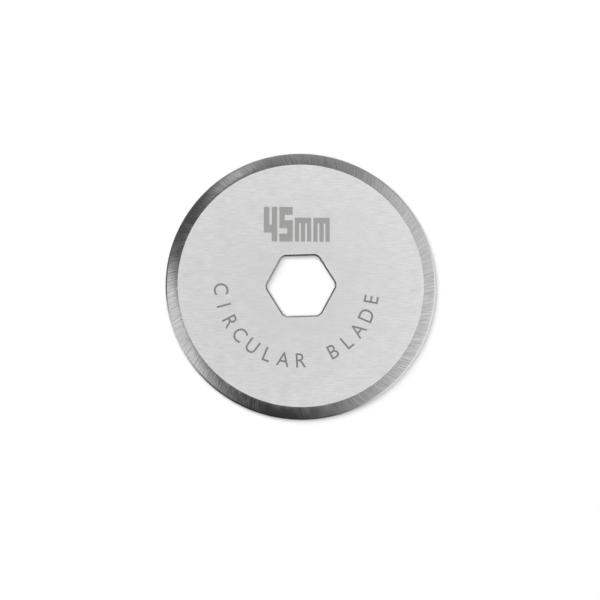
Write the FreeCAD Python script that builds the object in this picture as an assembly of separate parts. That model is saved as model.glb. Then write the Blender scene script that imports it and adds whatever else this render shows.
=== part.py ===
"""Round blade of a hand-held rotary fabric cutter.

One disc of hardened stainless strip: punched with a six-sided drive hole, ground to an
edge all the way round from both faces, and honed at the very rim.  Nothing is fixed to it.

Millimetres.  The origin is the middle of the hole on the lower face, +Z points out of the
marked face, and two opposite corners of the hole lie on the X axis.
"""

import FreeCAD, Part
import math
import os

# Driving dimensions
BLADE_DIAMETER = 45.0  # over the cutting edge
STRIP_THICKNESS = 0.30
GROUND_WIDTH = 2.0  # from the flat to the cutting edge, seen from above
HONED_WIDTH = 0.22  # the outermost part of the ground width, at a blunter angle
HONED_ANGLE = 11.0  # degrees between the honed rim and the blade's plane
HOLE_ACROSS_FLATS = 10.1  # wall to opposite wall of the drive hole
HOLE_CORNER_RADIUS = 1.0
PUNCH_ROLL_WIDTH = 0.26  # the rim of the hole that the punch drew down, on the marked face
PUNCH_ROLL_DEPTH = 0.12

HOLE_SIDES = 6
CUT_CLEARANCE = 1.0  # how far a cutting tool runs past the face it starts from

# Worked out from the driving dimensions
EDGE_RADIUS = BLADE_DIAMETER / 2
FLAT_RADIUS = EDGE_RADIUS - GROUND_WIDTH
HONED_RADIUS = EDGE_RADIUS - HONED_WIDTH
MID_HEIGHT = STRIP_THICKNESS / 2
HONED_RISE = HONED_WIDTH * math.tan(math.radians(HONED_ANGLE))

UP = FreeCAD.Vector(0, 0, 1)
CENTRE = FreeCAD.Vector(0, 0, 0)


def ground_disc():
    """The disc without its hole: half its section, turned once round the Z axis."""
    half_section = [
        (0, 0),
        (FLAT_RADIUS, 0),
        (HONED_RADIUS, MID_HEIGHT - HONED_RISE),
        (EDGE_RADIUS, MID_HEIGHT),
        (HONED_RADIUS, MID_HEIGHT + HONED_RISE),
        (FLAT_RADIUS, STRIP_THICKNESS),
        (0, STRIP_THICKNESS),
    ]
    corners = [FreeCAD.Vector(radius, 0, height) for radius, height in half_section]
    outline = Part.makePolygon(corners + corners[:1])
    return Part.Face(outline).revolve(CENTRE, UP, 360)


def hole_outline(across_flats, corner_radius, height):
    """A hexagon with rounded corners at the given height, one corner on +X."""
    half_corner = math.pi / HOLE_SIDES
    arc_centre_radius = (across_flats / 2 - corner_radius) / math.cos(half_corner)

    def on_corner(corner_angle, offset):
        turn = corner_angle + offset
        return FreeCAD.Vector(
            arc_centre_radius * math.cos(corner_angle) + corner_radius * math.cos(turn),
            arc_centre_radius * math.sin(corner_angle) + corner_radius * math.sin(turn),
            height,
        )

    edges = []
    for side in range(HOLE_SIDES):
        angle = 2 * half_corner * side
        next_angle = angle + 2 * half_corner
        start = on_corner(angle, -half_corner)
        end = on_corner(angle, half_corner)
        next_start = on_corner(next_angle, -half_corner)
        edges.append(Part.Arc(start, on_corner(angle, 0), end).toShape())
        edges.append(Part.LineSegment(end, next_start).toShape())
    return Part.Wire(edges)


def hole_punch():
    """What the punch takes out: the straight hole, and the drawn-down rim above it."""
    wall = hole_outline(HOLE_ACROSS_FLATS, HOLE_CORNER_RADIUS, -CUT_CLEARANCE)
    straight_hole = Part.Face(wall).extrude(UP * (STRIP_THICKNESS + 2 * CUT_CLEARANCE))
    # The drawn-down rim slopes evenly, and is carried on at that slope past the face.
    slope = PUNCH_ROLL_WIDTH / PUNCH_ROLL_DEPTH
    rise_to_clear = PUNCH_ROLL_DEPTH * 2
    spread = slope * rise_to_clear
    foot = hole_outline(HOLE_ACROSS_FLATS, HOLE_CORNER_RADIUS, STRIP_THICKNESS - PUNCH_ROLL_DEPTH)
    mouth = hole_outline(
        HOLE_ACROSS_FLATS + 2 * spread,
        HOLE_CORNER_RADIUS + spread,
        STRIP_THICKNESS - PUNCH_ROLL_DEPTH + rise_to_clear,
    )
    flared_rim = Part.makeLoft([foot, mouth], True, True)
    return straight_hole.fuse(flared_rim)


def blade():
    return ground_disc().cut(hole_punch())


os.makedirs("parts", exist_ok=True)
shape = blade()
shape.exportStep("parts/blade.step")
box = shape.BoundBox
print("blade", "valid", shape.isValid(), "solids", len(shape.Solids), "volume", round(shape.Volume, 2))
print("box", [round(v, 3) for v in (box.XMin, box.XMax, box.YMin, box.YMax, box.ZMin, box.ZMax)])
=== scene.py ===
import math

import bmesh
import bpy
from mathutils import Matrix, Vector


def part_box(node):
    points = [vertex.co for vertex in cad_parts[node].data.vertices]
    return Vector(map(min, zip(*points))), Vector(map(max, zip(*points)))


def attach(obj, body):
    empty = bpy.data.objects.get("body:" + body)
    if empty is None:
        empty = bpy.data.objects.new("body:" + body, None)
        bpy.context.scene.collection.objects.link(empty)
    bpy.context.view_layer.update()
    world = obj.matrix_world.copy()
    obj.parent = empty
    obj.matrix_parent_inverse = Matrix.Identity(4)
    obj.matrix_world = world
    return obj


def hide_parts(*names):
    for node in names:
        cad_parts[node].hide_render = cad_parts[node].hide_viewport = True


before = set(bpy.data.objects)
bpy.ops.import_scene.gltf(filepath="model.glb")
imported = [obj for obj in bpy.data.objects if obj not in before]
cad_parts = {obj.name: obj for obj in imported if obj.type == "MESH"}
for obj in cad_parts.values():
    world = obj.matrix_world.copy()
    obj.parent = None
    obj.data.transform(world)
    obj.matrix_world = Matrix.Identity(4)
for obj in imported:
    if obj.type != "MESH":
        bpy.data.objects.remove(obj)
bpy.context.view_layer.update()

# A round rotary-cutter blade lying on a white studio table, marked face up.
# Metres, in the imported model's frame: +Z out of the marked face, origin in the middle of
# the hole on the lower face, a corner of the hole on +X.

MM = 0.001
blade_low, blade_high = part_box("blade")

# The blade's section
EDGE_RADIUS = blade_high.x
THICKNESS = blade_high.z - blade_low.z
MID_HEIGHT = THICKNESS / 2
GROUND_WIDTH = 2.0 * MM
HONED_WIDTH = 0.22 * MM
HONED_ANGLE = math.radians(11)
RUNOUT_WIDTH = 0.10 * MM  # where the wheel first touches the flat
RUNOUT_DROP = 0.004 * MM
GROUND_ROUNDING = 0.22  # how much flatter the ground bevel starts than it is on average
GROUND_STEPS = 5
GROUND_OFFSET = 0.11 * MM  # how far the grinding leaves the flat off the blade's middle
FLAT_RADIUS = EDGE_RADIUS - GROUND_WIDTH
RUNOUT_RADIUS = FLAT_RADIUS + RUNOUT_WIDTH
RUNOUT_HEIGHT = THICKNESS - RUNOUT_DROP
HONED_RADIUS = EDGE_RADIUS - HONED_WIDTH
HONED_HEIGHT = MID_HEIGHT + HONED_WIDTH * math.tan(HONED_ANGLE)
AROUND = 720  # facets round the disc
CREASE_ANGLE = math.radians(0.8)  # the ground rim's rings turn only a few degrees
SAME_LEVEL = 1e-7  # how close in height two corners are at one level

# The drive hole
HOLE_SIDES = 6
HOLE_ACROSS_FLATS = 10.1 * MM
HOLE_CORNER_RADIUS = 1.0 * MM
HOLE_CORNER_FACETS = 10
HOLE_SIDE_FACETS = 12
ROLL_WIDTH = 0.26 * MM  # the rim that the punch drew down, on the marked face
ROLL_DEPTH = 0.12 * MM
ROLL_STEPS = 6

# The etched marks
ETCH_DEPTH = 0.015 * MM
MARK_TURN = math.radians(-2)  # the marks and the strip's grain against the hole
MARK_LEFT = 0.7 * MM  # how far the marks sit off the blade's middle
LETTER_FACETS = 5  # to each stretch of a letter's curves
LETTER_MERGE = 0.004  # corners closer than this share of a letter's height become one
ARC_WORDS = "CIRCULAR BLADE"
ARC_RADIUS = 12.6 * MM
ARC_CAP_HEIGHT = 2.37 * MM
ARC_CONDENSING = 0.9
ARC_THICKENING = 0.1 * MM  # added to each side of a letter's strokes
ARC_START = math.radians(183)
ARC_STEP = math.radians(12.8)

# The size mark, in block figures and letters
SIZE_BASE = 7.45 * MM  # its base line, above the blade's middle
SIZE_CORNER = 0.1 * MM
SIZE_CORNER_FACETS = 3
FIGURE_HEIGHT = 5.9 * MM
FIGURE_WIDTH = 2.25 * MM
FIGURE_STEM = 0.92 * MM
FIGURE_BAR = 1.35 * MM
LETTER_HEIGHT = 4.1 * MM
LETTER_WIDTH = 2.75 * MM
LETTER_STEM = 0.72 * MM
LETTER_BAR = 0.95 * MM
SIZE_GAP = 0.34 * MM

# The finishes. A pair runs from a finish's dark streaks to its light ones
NOISE_MIDDLE = (0.3, 0.7)  # the part of a noise that is stretched to 0 to 1
GRAIN_WIDTH = 0.19 * MM
GRAIN_LENGTH = 1.8 * MM
BAND_FINENESS = (0.5, 0.12)  # broad bands along and across, against the grain's fine lines
BAND_SLICE = 7.0  # the bands' own level in the noise
STREAK_WIDTH = 0.17 * MM
STREAK_LENGTH = 3 * MM
STREAK_SLANT = 0.4
PATCH_FINENESS = (0.12, 2.0)  # patches round and outwards, against the streaks
FLAT_GREYS = (0.78, 1.0)
FLAT_ROUGHNESS = (0.42, 0.33)
FLAT_ANISOTROPY = 0.5
FLAT_LINES_SHARE = 0.85  # of its pattern, the rest being bands
FLAT_DARKENING_RADIUS = 7 * MM  # nearer the hole than this, the grain is only a share as light, so the flat is darker towards the hole
FLAT_DARKENING_SHARE = 0.5
BEVEL_GREYS = (0.50, 0.74)
BEVEL_ROUGHNESS = (0.06, 0.10)
BEVEL_ANISOTROPY = 0.4
BEVEL_STREAK_DEPTH = 0.0012 * MM
HONED_GREYS = (0.58, 0.72)
HONED_ROUGHNESS = (0.12, 0.20)
HONED_ANISOTROPY = 0.3
HONED_STREAK_WIDTH = 0.12 * MM
# The punched rim's dark greys are partly the punched edge's own duller steel and partly painted shade
# along the hole's rim
PUNCHED_GREYS_WITH_SHADE = (0.20, 0.34)
PUNCHED_ROUGHNESS = (0.2, 0.3)
PUNCHED_SPECK = 0.05 * MM
ETCHED_GREYS = (0.36, 0.73)
ETCHED_WARMTH = 0.01  # how much less blue it is
ETCHED_ROUGHNESS = (0.62, 0.75)
ETCHED_LINE_WIDTH = 0.09 * MM
ETCHED_LINE_LENGTH = 0.5 * MM
ETCHED_LINES_SHARE = 0.3
SIZE_MARK_SHARE = 0.55  # the size mark is etched more lightly than the words

# The camera
CAMERA_DISTANCE = 0.50
CAMERA_TILT = math.radians(10.3)
CAMERA_SIDE = math.radians(-103.7)  # the side it stands on, round from +X
CAMERA_ROLL = math.radians(-2)
VIEW_WIDTH = 0.0998  # what it takes in at the blade
AIM_BELOW = 2.38 * MM
AIM_LEFT = 0.15 * MM
SENSOR_WIDTH = 36.0
NEAREST_SEEN = 0.01
FARTHEST_SEEN = 20

# The studio
TABLE_SIZE = 3.0
TABLE_SQUARES = 8  # along each side
TABLE_GAP = 0.22 * MM  # under the blade, as if it were a little dished
TABLE_WHITE = 0.97
TABLE_ROUGHNESS = 0.9
TABLE_SPECULAR = 0.1
KEY_MIDDLE = (-0.74, 0.72, 0.36)
KEY_SIZE = 0.8
KEY_BRIGHT = 5.4
SKY_HEIGHT = 1.5
SKY_SIZE = 5.0
SKY_BRIGHT = 1.06
# Panels of the studio's tent, which only the steel mirrors. A place is how far a direction
# leans east and north of straight up (its slope): name, middle, half widths, softness,
# brightness
TENT_PANELS = [
    ("overhead_panel", (0.036, 0.182), (0.095, 0.10), 0.35, 3.3),
    ("east_window", (0.40, 0.15), (0.31, 0.38), 0.6, 0.80),
    ("far_east_window", (0.50, -0.02), (0.33, 0.36), 0.4, 1.2),
    ("west_panel", (-0.19, 0.112), (0.12, 0.114), 0.3, 0.90),
    ("west_haze", (-0.13, 0.05), (0.075, 0.075), 1.0, 0.40),
    ("far_west_panel", (-0.39, 0.02), (0.13, 0.12), 0.6, 1.0),
    ("north_slit", (-0.045, 0.36), (0.03, 0.06), 0.6, 0.62),
    ("north_haze", (0.18, 0.78), (0.45, 0.50), 0.6, 0.38),
    ("east_wall", (1.20, -0.25), (0.65, 0.90), 0.6, 1.25),
    ("north_wall", (0.10, 1.50), (1.10, 0.60), 0.5, 2.1),
    ("northwest_wall", (-0.90, 0.80), (0.50, 0.50), 0.6, 0.38),
]
TENT_CLOTH_SLOPES = (-0.1, 0.25)  # northwards
TENT_CLOTH_BRIGHT = (0.02, 0.10)  # at those slopes
LOW_WALL_SLOPES = (1.2, 2.0)  # any way round
LOW_WALL_BRIGHT = 1.1
LOW_WALL_FOOT_SLOPES = (2.4, 3.1)
LOW_WALL_FOOT = 0.4  # its foot is darker, as a share of that
LOWEST_RISE = 0.01  # of a direction, so that its slope stays finite


# ---------------------------------------------------------------- small helpers


def scene_object(name, data):
    made = bpy.data.objects.new(name, data)
    bpy.context.scene.collection.objects.link(made)
    return made


def mesh_from(bm, name):
    mesh = bpy.data.meshes.new(name)
    bm.to_mesh(mesh)
    bm.free()
    return mesh


def open_edges(bm, height, inside_radius, outside_radius):
    """Boundary edges at one height whose middles lie between two radii."""
    found = []
    for edge in bm.edges:
        middle = (edge.verts[0].co + edge.verts[1].co) / 2
        level = abs(middle.z - height) < SAME_LEVEL
        if edge.is_boundary and level and inside_radius < middle.xy.length < outside_radius:
            found.append(edge)
    return found


# ---------------------------------------------------------------- node helpers


def shader_group(name, inputs, outputs):
    """An empty shader node group with number sockets, and its two end nodes."""
    group = bpy.data.node_groups.new(name, "ShaderNodeTree")
    for label, default in inputs:
        socket = group.interface.new_socket(label, in_out="INPUT", socket_type="NodeSocketFloat")
        socket.default_value = default
    for label in outputs:
        group.interface.new_socket(label, in_out="OUTPUT", socket_type="NodeSocketFloat")
    start = group.nodes.new("NodeGroupInput")
    end = group.nodes.new("NodeGroupOutput")
    return group, start, end


class Wiring:
    """Adds nodes to a tree and links them by socket."""

    def __init__(self, tree):
        self.tree = tree

    def node(self, kind, **settings):
        made = self.tree.nodes.new("ShaderNode" + kind)
        for key, value in settings.items():
            setattr(made, key, value)
        return made

    def link(self, source, target):
        self.tree.links.new(source, target)

    def put(self, socket, value):
        """Feeds a socket from another socket, or sets its own value."""
        if isinstance(value, bpy.types.NodeSocket):
            self.link(value, socket)
        else:
            socket.default_value = value

    def math(self, operation, *values):
        made = self.node("Math", operation=operation)
        for socket, value in zip(made.inputs, values):
            self.put(socket, value)
        return made.outputs[0]

    def spread(self, value, low, high, to_low=0.0, to_high=1.0, smooth=False):
        """A value between low and high, stretched to a new range and held inside it."""
        made = self.node("MapRange", interpolation_type="SMOOTHSTEP" if smooth else "LINEAR")
        for label, number in (
            ("Value", value),
            ("From Min", low),
            ("From Max", high),
            ("To Min", to_low),
            ("To Max", to_high),
        ):
            self.put(made.inputs[label], number)
        return made.outputs["Result"]

    def noise(self, vector, detail=2.0, roughness=0.5):
        """Noise with lumps about one unit across."""
        made = self.node("TexNoise", noise_dimensions="3D")
        self.link(vector, made.inputs["Vector"])
        made.inputs["Scale"].default_value = 1.0
        made.inputs["Detail"].default_value = detail
        made.inputs["Roughness"].default_value = roughness
        return made.outputs["Fac"]

    def vector(self, x, y, z):
        made = self.node("CombineXYZ")
        for socket, value in zip(made.inputs, (x, y, z)):
            self.put(socket, value)
        return made.outputs[0]

    def split(self, vector):
        made = self.node("SeparateXYZ")
        self.link(vector, made.inputs[0])
        return made.outputs[:]

    def length(self, x, y):
        squares = [self.math("MULTIPLY", value, value) for value in (x, y)]
        return self.math("SQRT", self.math("ADD", *squares))

    def place(self):
        return self.node("TexCoord").outputs["Object"]


def straight_grain_group():
    """Fine straight lines left by rolling and brushing the strip, running along X."""
    group, start, end = shader_group(
        "straight_grain",
        [("Line Width", GRAIN_WIDTH), ("Line Length", GRAIN_LENGTH)],
        ["Lines", "Bands"],
    )
    w = Wiring(group)
    turn = w.node("VectorRotate", rotation_type="Z_AXIS")
    w.link(w.place(), turn.inputs["Vector"])
    turn.inputs["Angle"].default_value = -MARK_TURN
    x, y = w.split(turn.outputs[0])[:2]
    along = w.math("DIVIDE", x, start.outputs["Line Length"])
    across = w.math("DIVIDE", y, start.outputs["Line Width"])
    band_along = w.math("MULTIPLY", along, BAND_FINENESS[0])
    band_across = w.math("MULTIPLY", across, BAND_FINENESS[1])
    fine = w.noise(w.vector(along, across, 0.0), detail=5.0, roughness=0.7)
    broad = w.noise(w.vector(band_along, band_across, BAND_SLICE))
    w.link(w.spread(fine, *NOISE_MIDDLE), end.inputs["Lines"])
    w.link(w.spread(broad, *NOISE_MIDDLE), end.inputs["Bands"])
    return group


def radial_grinding_group():
    """Grinding streaks that run out towards the edge, without a seam round the disc."""
    group, start, end = shader_group(
        "radial_grinding",
        [("Streak Width", STREAK_WIDTH), ("Slant", STREAK_SLANT)],
        ["Streaks", "Patches"],
    )
    w = Wiring(group)
    x, y = w.split(w.place())[:2]
    radius = w.length(x, y)
    inward = w.math("SUBTRACT", EDGE_RADIUS, radius)
    slanted = w.math("MULTIPLY", inward, start.outputs["Slant"])
    slant = w.node("VectorRotate", rotation_type="Z_AXIS")
    w.link(w.place(), slant.inputs["Vector"])
    w.link(w.math("DIVIDE", slanted, EDGE_RADIUS), slant.inputs["Angle"])
    # A place on a circle as many streaks round as the disc's edge, and how far in it lies
    count = w.math("DIVIDE", EDGE_RADIUS, start.outputs["Streak Width"])
    slanted_x, slanted_y = w.split(slant.outputs[0])[:2]
    round_x = w.math("MULTIPLY", w.math("DIVIDE", slanted_x, radius), count)
    round_y = w.math("MULTIPLY", w.math("DIVIDE", slanted_y, radius), count)
    depth = w.math("DIVIDE", inward, STREAK_LENGTH)
    patch_place = w.vector(
        w.math("MULTIPLY", round_x, PATCH_FINENESS[0]),
        w.math("MULTIPLY", round_y, PATCH_FINENESS[0]),
        w.math("MULTIPLY", depth, PATCH_FINENESS[1]),
    )
    fine = w.noise(w.vector(round_x, round_y, depth), detail=3.0, roughness=0.65)
    patches = w.noise(patch_place)
    w.link(w.spread(fine, *NOISE_MIDDLE), end.inputs["Streaks"])
    w.link(w.spread(patches, *NOISE_MIDDLE), end.inputs["Patches"])
    return group


def steel(name, anisotropy=0.0, brushed_along=None):
    """A bare metal, its wiring and its shader. Its gloss may be drawn out round one axis."""
    material = bpy.data.materials.new(name)
    material.use_nodes = True
    w = Wiring(material.node_tree)
    shader = material.node_tree.nodes["Principled BSDF"]
    shader.inputs["Metallic"].default_value = 1.0
    shader.inputs["Anisotropic"].default_value = anisotropy
    if brushed_along:
        tangent = w.node("Tangent", direction_type="RADIAL", axis=brushed_along)
        w.link(tangent.outputs[0], shader.inputs["Tangent"])
    return material, w, shader


def place_group(w, group, **values):
    """Places a node group, with its own values for the inputs that are named."""
    made = w.node("Group", node_tree=group)
    for label, value in values.items():
        made.inputs[label.replace("_", " ")].default_value = value
    return made


def tint(w, shader, amount, greys, warmth=0.0):
    """Colours the steel between two greys, by a value from 0 to 1."""
    made = w.node("Mix", data_type="RGBA")
    w.link(amount, made.inputs["Factor"])
    for label, grey in zip(("A", "B"), greys):
        made.inputs[label].default_value = (grey, grey, grey - warmth, 1)
    w.link(made.outputs["Result"], shader.inputs["Base Color"])


def roughen(w, shader, amount, roughnesses):
    """Sets the steel's roughness between two, by a value from 0 to 1."""
    w.link(w.spread(amount, 0, 1, *roughnesses), shader.inputs["Roughness"])


def score(w, shader, height, depth):
    """Scores the steel's surface with fine relief, as deep as given."""
    made = w.node("Bump")
    made.inputs["Strength"].default_value = 1.0
    made.inputs["Distance"].default_value = depth
    w.link(height, made.inputs["Height"])
    w.link(made.outputs["Normal"], shader.inputs["Normal"])


def brushed_flat_material(grain):
    material, w, shader = steel("brushed_flat", FLAT_ANISOTROPY, brushed_along="X")
    pattern = place_group(w, grain)
    lines = w.math("MULTIPLY", pattern.outputs["Lines"], FLAT_LINES_SHARE)
    bands = w.math("MULTIPLY", pattern.outputs["Bands"], 1 - FLAT_LINES_SHARE)
    mixed = w.math("ADD", lines, bands)
    x, y = w.split(w.place())[:2]
    # The flat's colour is darker towards the hole
    darker_inwards = w.spread(w.length(x, y), FLAT_DARKENING_RADIUS, FLAT_RADIUS, FLAT_DARKENING_SHARE, 1)
    tint(w, shader, w.math("MULTIPLY", mixed, darker_inwards), FLAT_GREYS)
    roughen(w, shader, mixed, FLAT_ROUGHNESS)
    return material


def ground_bevel_material(grinding):
    material, w, shader = steel("ground_bevel", BEVEL_ANISOTROPY, brushed_along="Z")
    pattern = place_group(w, grinding)
    tint(w, shader, pattern.outputs["Streaks"], BEVEL_GREYS)
    roughen(w, shader, pattern.outputs["Patches"], BEVEL_ROUGHNESS)
    score(w, shader, pattern.outputs["Streaks"], BEVEL_STREAK_DEPTH)
    return material


def honed_rim_material(grinding):
    material, w, shader = steel("honed_rim", HONED_ANISOTROPY)
    pattern = place_group(w, grinding, Streak_Width=HONED_STREAK_WIDTH)
    tint(w, shader, pattern.outputs["Streaks"], HONED_GREYS)
    roughen(w, shader, pattern.outputs["Streaks"], HONED_ROUGHNESS)
    return material


def punched_rim_shade_material(grain):
    material, w, shader = steel("punched_wall_with_painted_shade")
    pattern = place_group(w, grain, Line_Width=PUNCHED_SPECK, Line_Length=PUNCHED_SPECK)
    # Darker than the other steel: partly its own duller finish, partly painted shade along the hole's
    # rim
    tint(w, shader, pattern.outputs["Lines"], PUNCHED_GREYS_WITH_SHADE)
    roughen(w, shader, pattern.outputs["Lines"], PUNCHED_ROUGHNESS)
    return material


def etched_mark_material(grain):
    material, w, shader = steel("etched_mark")
    pattern = place_group(
        w, grain, Line_Width=ETCHED_LINE_WIDTH, Line_Length=ETCHED_LINE_LENGTH
    )
    lines = w.math("MULTIPLY", pattern.outputs["Lines"], ETCHED_LINES_SHARE)
    y = w.split(w.place())[1]
    size_mark = w.spread(y, 0, SIZE_BASE, 0, SIZE_MARK_SHARE)
    tint(w, shader, w.math("ADD", size_mark, lines), ETCHED_GREYS, ETCHED_WARMTH)
    roughen(w, shader, pattern.outputs["Lines"], ETCHED_ROUGHNESS)
    return material


# ---------------------------------------------------------------- the blade

# The order of the finishes on the blade. The etched finish comes after them
BRUSHED, GROUND, HONED, PUNCHED = range(4)


def spin_ground_edge(bm):
    """The ground and honed rim of the disc: its section, turned once round the axis."""
    upper_section = [(FLAT_RADIUS, THICKNESS)]
    for step in range(GROUND_STEPS + 1):
        share = step / GROUND_STEPS
        rounded = share * (1 - GROUND_ROUNDING * (1 - share))
        radius = RUNOUT_RADIUS + share * (HONED_RADIUS - RUNOUT_RADIUS)
        height = RUNOUT_HEIGHT + rounded * (HONED_HEIGHT - RUNOUT_HEIGHT)
        upper_section.append((radius, height))
    upper_section.append((EDGE_RADIUS, MID_HEIGHT))
    lower_section = [(radius, THICKNESS - height) for radius, height in reversed(upper_section[:-1])]
    verts = [bm.verts.new((radius, 0, height)) for radius, height in upper_section + lower_section]
    edges = [bm.edges.new(pair) for pair in zip(verts, verts[1:])]
    bmesh.ops.spin(
        bm,
        geom=verts + edges,
        axis=(0, 0, 1),
        cent=(0, 0, 0),
        angle=math.tau,
        steps=AROUND,
        use_merge=True,
    )
    for vert in bm.verts:
        ground = (HONED_RADIUS - vert.co.xy.length) / (HONED_RADIUS - FLAT_RADIUS)
        vert.co.y += GROUND_OFFSET * max(0, ground)
    for face in bm.faces:
        radius = face.calc_center_median().xy.length
        face.material_index = HONED if radius > HONED_RADIUS else GROUND
        face.smooth = True


def press_hole(bm):
    """The hole, sunk from its mouth: a hexagon with rounded corners, the drawn-down rim, the wall."""
    half_corner = math.pi / HOLE_SIDES
    mouth_reach = HOLE_ACROSS_FLATS / 2 + ROLL_WIDTH
    mouth_corner = HOLE_CORNER_RADIUS + ROLL_WIDTH
    side_length = 2 * (mouth_reach - mouth_corner) * math.tan(half_corner)
    circle = bmesh.ops.create_circle(
        bm,
        cap_ends=True,
        segments=HOLE_SIDES,
        radius=mouth_reach / math.cos(half_corner),
        matrix=Matrix.Translation((0, 0, THICKNESS)) @ Matrix.Rotation(math.pi / 2, 4, "Z"),
    )
    bmesh.ops.bevel(
        bm,
        geom=circle["verts"],
        offset=mouth_corner * math.tan(half_corner),
        segments=HOLE_CORNER_FACETS,
        profile=0.5,
        affect="VERTICES",
        material=-1,
    )
    mouth = max(bm.faces, key=lambda face: len(face.verts))
    sides = [edge for edge in mouth.edges if edge.calc_length() > side_length / 2]
    bmesh.ops.subdivide_edges(bm, edges=sides, cuts=HOLE_SIDE_FACETS - 1)
    mouth = max(bm.faces, key=lambda face: len(face.verts))
    if mouth.normal.z < 0:
        mouth.normal_flip()

    quarter = [math.pi / 2 * step / ROLL_STEPS for step in range(ROLL_STEPS + 1)]
    path = [(ROLL_WIDTH * math.sin(a), ROLL_DEPTH * (1 - math.cos(a))) for a in quarter]
    path.append((ROLL_WIDTH, THICKNESS))
    for (width, depth), (next_width, next_depth) in zip(path, path[1:]):
        ring = bmesh.ops.inset_individual(
            bm,
            faces=[mouth],
            thickness=next_width - width,
            depth=depth - next_depth,
            use_even_offset=True,
        )
        for face in ring["faces"]:
            face.material_index = PUNCHED
            face.smooth = True
    bmesh.ops.delete(bm, geom=[mouth], context="FACES_ONLY")


def fill_flats(bm):
    """The two flats, bridged from the hole's outline to the start of the ground edge."""
    halfway = (HOLE_ACROSS_FLATS / 2 + FLAT_RADIUS) / 2
    for height in (0, THICKNESS):
        hole_loop = open_edges(bm, height, 0, halfway)
        disc_loop = open_edges(bm, height, halfway, EDGE_RADIUS)
        bridge = bmesh.ops.bridge_loops(bm, edges=hole_loop + disc_loop)
        for face in bridge["faces"]:
            face.material_index = BRUSHED
            face.smooth = False


def crease(mesh):
    """Sharpens the rings where the ground rim changes slope."""
    bm = bmesh.new()
    bm.from_mesh(mesh)
    for edge in bm.edges:
        middle = (edge.verts[0].co + edge.verts[1].co) / 2
        if edge.is_manifold and middle.xy.length > FLAT_RADIUS - 2 * GROUND_OFFSET:
            edge.smooth = edge.calc_face_angle() < CREASE_ANGLE
    bm.to_mesh(mesh)
    bm.free()


# ---------------------------------------------------------------- the etched marks


def flat_letters(text):
    """Letters as one flat mesh, in the font's own units."""
    curve = bpy.data.curves.new("letters", "FONT")
    curve.body = text
    curve.align_x = "CENTER"
    curve.resolution_u = LETTER_FACETS
    holder = scene_object("letters", curve)
    mesh = bpy.data.meshes.new_from_object(holder)
    bpy.data.objects.remove(holder)
    return mesh


def add_cutter(bm, flat, place):
    """Stands a flat shape up as a solid cutter at the given place."""
    raised = bmesh.ops.extrude_face_region(flat, geom=flat.faces)
    tops = [part for part in raised["geom"] if isinstance(part, bmesh.types.BMVert)]
    bmesh.ops.translate(flat, verts=tops, vec=(0, 0, THICKNESS))
    bmesh.ops.recalc_face_normals(flat, faces=flat.faces)
    flat.transform(place)
    bm.from_mesh(mesh_from(flat, "cutter"))


def add_arc_letter(bm, letter, scale, place):
    """One sans-serif capital, condensed and then thickened, standing on its base line."""
    flat = bmesh.new()
    flat.from_mesh(flat_letters(letter))
    bmesh.ops.remove_doubles(flat, verts=flat.verts, dist=LETTER_MERGE)
    flat.transform(Matrix.Diagonal((scale * ARC_CONDENSING, scale, 1, 1)))
    bmesh.ops.inset_region(
        flat,
        faces=flat.faces,
        thickness=ARC_THICKENING,
        use_boundary=True,
        use_even_offset=True,
        use_outset=True,
    )
    add_cutter(bm, flat, place)


def figure_four():
    """An open 4, its foot under the right stem."""
    bar_foot = (FIGURE_HEIGHT - FIGURE_BAR) / 3
    bar_top = bar_foot + FIGURE_BAR
    right = FIGURE_WIDTH - FIGURE_STEM
    return [
        (right, 0),
        (FIGURE_WIDTH, 0),
        (FIGURE_WIDTH, FIGURE_HEIGHT),
        (right, FIGURE_HEIGHT),
        (right, bar_top),
        (FIGURE_STEM, bar_top),
        (FIGURE_STEM, FIGURE_HEIGHT),
        (0, FIGURE_HEIGHT),
        (0, bar_foot),
        (right, bar_foot),
    ]


def figure_five():
    """A square 5 of three bars and two short stems."""
    step = (FIGURE_HEIGHT - FIGURE_BAR) / 2
    right = FIGURE_WIDTH - FIGURE_STEM
    return [
        (0, 0),
        (FIGURE_WIDTH, 0),
        (FIGURE_WIDTH, step + FIGURE_BAR),
        (FIGURE_STEM, step + FIGURE_BAR),
        (FIGURE_STEM, 2 * step),
        (FIGURE_WIDTH, 2 * step),
        (FIGURE_WIDTH, FIGURE_HEIGHT),
        (0, FIGURE_HEIGHT),
        (0, step),
        (right, step),
        (right, FIGURE_BAR),
        (0, FIGURE_BAR),
    ]


def letter_m():
    """A square m: three stems that hang from one bar."""
    spacing = (LETTER_WIDTH - LETTER_STEM) / 2
    corners = [(LETTER_WIDTH, LETTER_HEIGHT), (0, LETTER_HEIGHT), (0, 0)]
    for stem in (0, 1):
        inner_side = stem * spacing + LETTER_STEM
        next_stem = (stem + 1) * spacing
        corners.append((inner_side, 0))
        corners.append((inner_side, LETTER_HEIGHT - LETTER_BAR))
        corners.append((next_stem, LETTER_HEIGHT - LETTER_BAR))
        corners.append((next_stem, 0))
    corners.append((LETTER_WIDTH, 0))
    return corners


def add_block_figure(bm, corners, place):
    """One block figure of the size mark, with slightly rounded corners."""
    flat = bmesh.new()
    flat.faces.new([flat.verts.new((x, y, 0)) for x, y in corners])
    bmesh.ops.bevel(
        flat,
        geom=flat.verts,
        offset=SIZE_CORNER,
        segments=SIZE_CORNER_FACETS,
        profile=0.5,
        affect="VERTICES",
        material=-1,
    )
    add_cutter(bm, flat, place)


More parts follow.
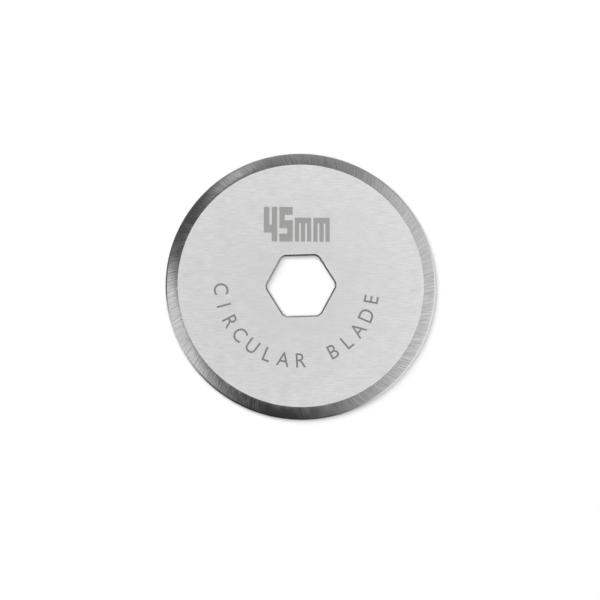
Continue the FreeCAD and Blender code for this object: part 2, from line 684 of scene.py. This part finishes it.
def mark_cutters():
    """Every etched mark as a solid, from the etched floor to above the marked face."""
    bm = bmesh.new()
    on_strip = (
        Matrix.Rotation(MARK_TURN, 4, "Z")
        @ Matrix.Translation((-MARK_LEFT, 0, THICKNESS - ETCH_DEPTH))
    )
    upright = Matrix.Rotation(math.pi / 2, 4, "Z")
    capital = [vert.co.y for vert in flat_letters("H").vertices]
    scale = ARC_CAP_HEIGHT / (max(capital) - min(capital))
    for index, letter in enumerate(ARC_WORDS):
        if letter != " ":
            spoke = Matrix.Rotation(ARC_START + ARC_STEP * index, 4, "Z")
            foot = Matrix.Translation((ARC_RADIUS + ARC_CAP_HEIGHT / 2, 0, 0))
            add_arc_letter(bm, letter, scale, on_strip @ spoke @ foot @ upright)
    marks = [figure_four(), figure_five(), letter_m(), letter_m()]
    widths = [max(x for x, y in corners) for corners in marks]
    left = -(sum(widths) + SIZE_GAP * (len(marks) - 1)) / 2
    for corners, width in zip(marks, widths):
        add_block_figure(bm, corners, on_strip @ Matrix.Translation((left, SIZE_BASE, 0)))
        left += width + SIZE_GAP
    return mesh_from(bm, "mark_cutters")


def etch(blade, etched_mark):
    """Cuts the marks into the marked face, each cut lined with the etched finish."""
    cutters = scene_object("mark_cutters", mark_cutters())
    cutters.data.materials.append(etched_mark)
    cut = blade.modifiers.new("etch", "BOOLEAN")
    cut.operation = "DIFFERENCE"
    cut.solver = "EXACT"
    cut.material_mode = "TRANSFER"
    cut.object = cutters
    evaluated = blade.evaluated_get(bpy.context.evaluated_depsgraph_get())
    etched = bpy.data.meshes.new_from_object(evaluated)
    blade.modifiers.clear()
    blade.data = etched
    bpy.data.objects.remove(cutters)


def make_blade():
    """The whole blade: the ground rim, the hole, the flats between them, then the marks."""
    grain = straight_grain_group()
    grinding = radial_grinding_group()
    bm = bmesh.new()
    spin_ground_edge(bm)
    press_hole(bm)
    fill_flats(bm)
    bmesh.ops.recalc_face_normals(bm, faces=bm.faces)
    blade = scene_object("rotary_blade", mesh_from(bm, "rotary_blade"))
    etched_mark = etched_mark_material(grain)
    for material in (
        brushed_flat_material(grain),
        ground_bevel_material(grinding),
        honed_rim_material(grinding),
        punched_rim_shade_material(grain),
        etched_mark,
    ):
        blade.data.materials.append(material)
    etch(blade, etched_mark)
    crease(blade.data)
    return blade


# ---------------------------------------------------------------- the studio


def white_table():
    """A plain pale sheet just under the blade."""
    bm = bmesh.new()
    bmesh.ops.create_grid(
        bm, x_segments=TABLE_SQUARES, y_segments=TABLE_SQUARES, size=TABLE_SIZE / 2
    )
    bmesh.ops.translate(bm, verts=bm.verts, vec=(0, 0, -TABLE_GAP))
    table = scene_object("table", mesh_from(bm, "table"))
    material = bpy.data.materials.new("table_white")
    material.use_nodes = True
    shader = material.node_tree.nodes["Principled BSDF"]
    shader.inputs["Base Color"].default_value = (TABLE_WHITE, TABLE_WHITE, TABLE_WHITE, 1)
    shader.inputs["Roughness"].default_value = TABLE_ROUGHNESS
    shader.inputs["Specular IOR Level"].default_value = TABLE_SPECULAR
    table.data.materials.append(material)


def softbox(name, middle, size, bright):
    """A square light that faces the blade and lights the table; the steel doesn't mirror it."""
    light = bpy.data.lights.new(name, "AREA")
    light.shape = "SQUARE"
    light.size = size
    light.energy = bright * math.pi * size**2
    lamp = scene_object(name, light)
    lamp.location = middle
    lamp.rotation_mode = "QUATERNION"
    lamp.rotation_quaternion = Vector(middle).to_track_quat("Z", "Y")
    lamp.visible_camera = False
    lamp.visible_glossy = False


def studio_light():
    """A tent of dark cloth with soft panels in it and pale low walls round its foot."""
    world = bpy.data.worlds.new("studio")
    bpy.context.scene.world = world
    world.use_nodes = True
    world.cycles_visibility.diffuse = False
    w = Wiring(world.node_tree)
    background = world.node_tree.nodes["Background"]
    x, y, z = w.split(w.node("TexCoord").outputs["Generated"])
    upward = w.math("MAXIMUM", z, LOWEST_RISE)
    east = w.math("DIVIDE", x, upward)
    north = w.math("DIVIDE", y, upward)

    def lean_from(middle, half_widths):
        """How far a direction leans from a panel's middle: 1 at the panel's edge."""
        offset_x = w.math("DIVIDE", w.math("SUBTRACT", east, middle[0]), half_widths[0])
        offset_y = w.math("DIVIDE", w.math("SUBTRACT", north, middle[1]), half_widths[1])
        return w.length(offset_x, offset_y)

    slope = w.length(east, north)
    wall = w.spread(slope, *LOW_WALL_SLOPES, 0, LOW_WALL_BRIGHT)
    foot = w.spread(slope, *LOW_WALL_FOOT_SLOPES, 1, LOW_WALL_FOOT)
    cloth = w.spread(north, *TENT_CLOTH_SLOPES, *TENT_CLOTH_BRIGHT)
    brightest = w.math("MAXIMUM", w.math("MULTIPLY", wall, foot), cloth)
    for name, middle, half_widths, softness, brightness in TENT_PANELS:
        lean = lean_from(middle, half_widths)
        panel = w.spread(lean, 1 - softness / 2, 1 + softness / 2, brightness, 0, smooth=True)
        panel.node.label = name
        brightest = w.math("MAXIMUM", brightest, panel)
    # Past the table's far edge the camera sees plain white
    seen = w.node("LightPath").outputs["Is Camera Ray"]
    w.link(w.math("MAXIMUM", brightest, seen), background.inputs["Strength"])
    background.inputs["Color"].default_value = (1, 1, 1, 1)


def place_camera():
    """The camera, nearly straight above, aimed a little below and left of the blade's middle."""
    data = bpy.data.cameras.new("studio_camera")
    data.sensor_width = SENSOR_WIDTH
    data.lens = SENSOR_WIDTH * CAMERA_DISTANCE / VIEW_WIDTH
    data.clip_start = NEAREST_SEEN
    data.clip_end = FARTHEST_SEEN
    camera = scene_object("studio_camera", data)
    roll = Matrix.Rotation(CAMERA_ROLL, 3, "Z")
    aim = roll @ Vector((-AIM_LEFT, -AIM_BELOW, 0))
    tilt = Matrix.Rotation(CAMERA_SIDE, 3, "Z") @ Matrix.Rotation(CAMERA_TILT, 3, "Y")
    back = tilt @ Vector((0, 0, 1))
    right = (roll @ Vector((0, 1, 0))).cross(back).normalized()
    up = back.cross(right)
    turn = Matrix((right, up, back)).transposed().to_4x4()
    camera.matrix_world = Matrix.Translation(aim + CAMERA_DISTANCE * back) @ turn
    bpy.context.scene.camera = camera


# ---------------------------------------------------------------- the scene

place_camera()
blade = make_blade()
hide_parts("blade")
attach(blade, "root")
white_table()
studio_light()
softbox("key_softbox", KEY_MIDDLE, KEY_SIZE, KEY_BRIGHT)
softbox("sky_softbox", (0, 0, SKY_HEIGHT), SKY_SIZE, SKY_BRIGHT)
bpy.context.scene.view_settings.view_transform = "Standard"
